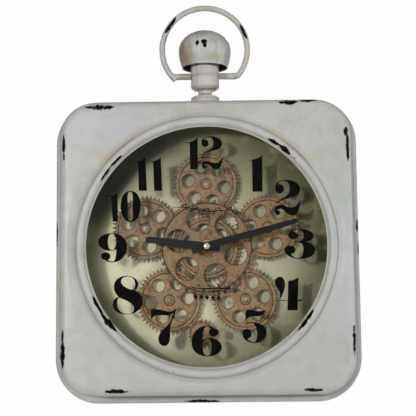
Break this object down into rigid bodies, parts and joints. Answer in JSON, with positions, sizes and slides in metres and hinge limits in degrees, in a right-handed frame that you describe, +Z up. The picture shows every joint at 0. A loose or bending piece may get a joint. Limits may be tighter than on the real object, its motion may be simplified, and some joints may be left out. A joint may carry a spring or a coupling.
{
  "type": "square wall clock with moving gears",
  "caption": "Square pocket-watch style wall clock: pressed steel case with round glazed bezel, crown and bow, exposed turning gear train and hour and minute hands.",
  "frame": {"origin": "on the hands' axis, on the service lid's flat field, which lies on the wall plane", "axes": "-Y towards the viewer, +Y into the wall, +Z up towards the crown, +X to the viewer's right"},
  "size_m": [0.383, 0.0717, 0.5004],
  "materials": {
    "case_paint": "distressed antique white with black chips",
    "glass": "clear flat glass",
    "black_steel": "satin black",
    "zinc_steel": "zinc plated",
    "bumper_rubber": "matte",
    "dial_paint": "aged cream",
    "antique_copper": "mottled antique copper",
    "brass_parts": "aged brass",
    "black_plastic": "fine texture",
    "grey_plastic": "moulded",
    "battery_wrap": "printed film, plain"
  },
  "bodies": {
    "case": {"front_shell": "case_paint", "bezel_ring": "case_paint", "glass": "glass", "glass_retainer": "black_steel", "rear_frame": "case_paint", "back_cover": "black_steel", "cover_screw_1": "zinc_steel", "cover_screw_2": "zinc_steel", "cover_screw_3": "zinc_steel", "cover_screw_4": "zinc_steel", "bumper_1": "bumper_rubber", "bumper_2": "bumper_rubber", "hanger_plate": "zinc_steel", "service_lid": "black_plastic", "crown_base": "case_paint", "crown_neck": "case_paint", "crown_dome": "case_paint", "crown_stud": "zinc_steel", "crown_nut": "zinc_steel", "bow": "case_paint", "dial_plate": "dial_paint", "dial_post_1": "zinc_steel", "dial_post_2": "zinc_steel", "dial_post_3": "zinc_steel", "dial_post_4": "zinc_steel", "gear_post_1": "brass_parts", "gear_post_2": "brass_parts", "gear_post_3": "brass_parts", "gear_post_4": "brass_parts", "gear_post_5": "brass_parts", "gear_screw_1": "zinc_steel", "gear_screw_2": "zinc_steel", "gear_screw_3": "zinc_steel", "gear_screw_4": "zinc_steel", "gear_screw_5": "zinc_steel", "center_pillar": "brass_parts", "movement_bushing": "brass_parts", "collar_nut": "antique_copper", "movement_housing": "black_plastic", "clock_battery": "battery_wrap", "battery_holder": "black_plastic", "gear_battery": "battery_wrap", "switch_body": "black_plastic", "gear_motor": "zinc_steel"},
    "hour": {"hour_hand": "black_steel", "hour_tube": "brass_parts"},
    "minute": {"minute_hand": "black_steel", "minute_arbor": "zinc_steel", "hand_nut": "brass_parts", "setting_knob": "grey_plastic"},
    "center_wheel": {"center_gear": "antique_copper", "sun_gear": "antique_copper"},
    "planet_1": {"planet_gear_1": "antique_copper"},
    "planet_2": {"planet_gear_2": "antique_copper"},
    "planet_3": {"planet_gear_3": "antique_copper"},
    "planet_4": {"planet_gear_4": "antique_copper"},
    "planet_5": {"planet_gear_5": "antique_copper"},
    "pinion": {"drive_pinion": "antique_copper", "pinion_shaft": "zinc_steel"},
    "switch": {"switch_slider": "grey_plastic"}
  },
  "joints": [
    {"name": "minute_spin", "type": "hinge", "parent": "case", "child": "minute", "pos_m": [0, -0.0566, 0], "axis": [0, 1, 0], "continuous": true},
    {"name": "hour_spin", "type": "hinge", "parent": "case", "child": "hour", "pos_m": [0, -0.0535, 0], "axis": [0, 1, 0], "continuous": true},
    {"name": "center_wheel_spin", "type": "hinge", "parent": "case", "child": "center_wheel", "pos_m": [0, -0.034, 0], "axis": [0, 1, 0], "continuous": true},
    {"name": "planet_1_spin", "type": "hinge", "parent": "case", "child": "planet_1", "pos_m": [0, -0.0313, 0.08], "axis": [0, 1, 0], "continuous": true},
    {"name": "planet_2_spin", "type": "hinge", "parent": "case", "child": "planet_2", "pos_m": [-0.07608, -0.0313, 0.02472], "axis": [0, 1, 0], "continuous": true},
    {"name": "planet_3_spin", "type": "hinge", "parent": "case", "child": "planet_3", "pos_m": [-0.04702, -0.0313, -0.06472], "axis": [0, 1, 0], "continuous": true},
    {"name": "planet_4_spin", "type": "hinge", "parent": "case", "child": "planet_4", "pos_m": [0.04702, -0.0313, -0.06472], "axis": [0, 1, 0], "continuous": true},
    {"name": "planet_5_spin", "type": "hinge", "parent": "case", "child": "planet_5", "pos_m": [0.07608, -0.0313, 0.02472], "axis": [0, 1, 0], "continuous": true},
    {"name": "pinion_spin", "type": "hinge", "parent": "case", "child": "pinion", "pos_m": [-0.00802, -0.0313, -0.10583], "axis": [0, 1, 0], "continuous": true},
    {"name": "switch_slide", "type": "slide", "parent": "case", "child": "switch", "axis": [0, 0, 1], "range_m": [0, 0.003]}
  ],
  "couplings": [
    {"joint": "hour_spin", "follows": "minute_spin", "ratio": 0.083333},
    {"joint": "planet_1_spin", "follows": "center_wheel_spin", "ratio": -1},
    {"joint": "planet_2_spin", "follows": "center_wheel_spin", "ratio": -1},
    {"joint": "planet_3_spin", "follows": "center_wheel_spin", "ratio": -1},
    {"joint": "planet_4_spin", "follows": "center_wheel_spin", "ratio": -1},
    {"joint": "planet_5_spin", "follows": "center_wheel_spin", "ratio": -1},
    {"joint": "pinion_spin", "follows": "center_wheel_spin", "ratio": 2.4}
  ]
}
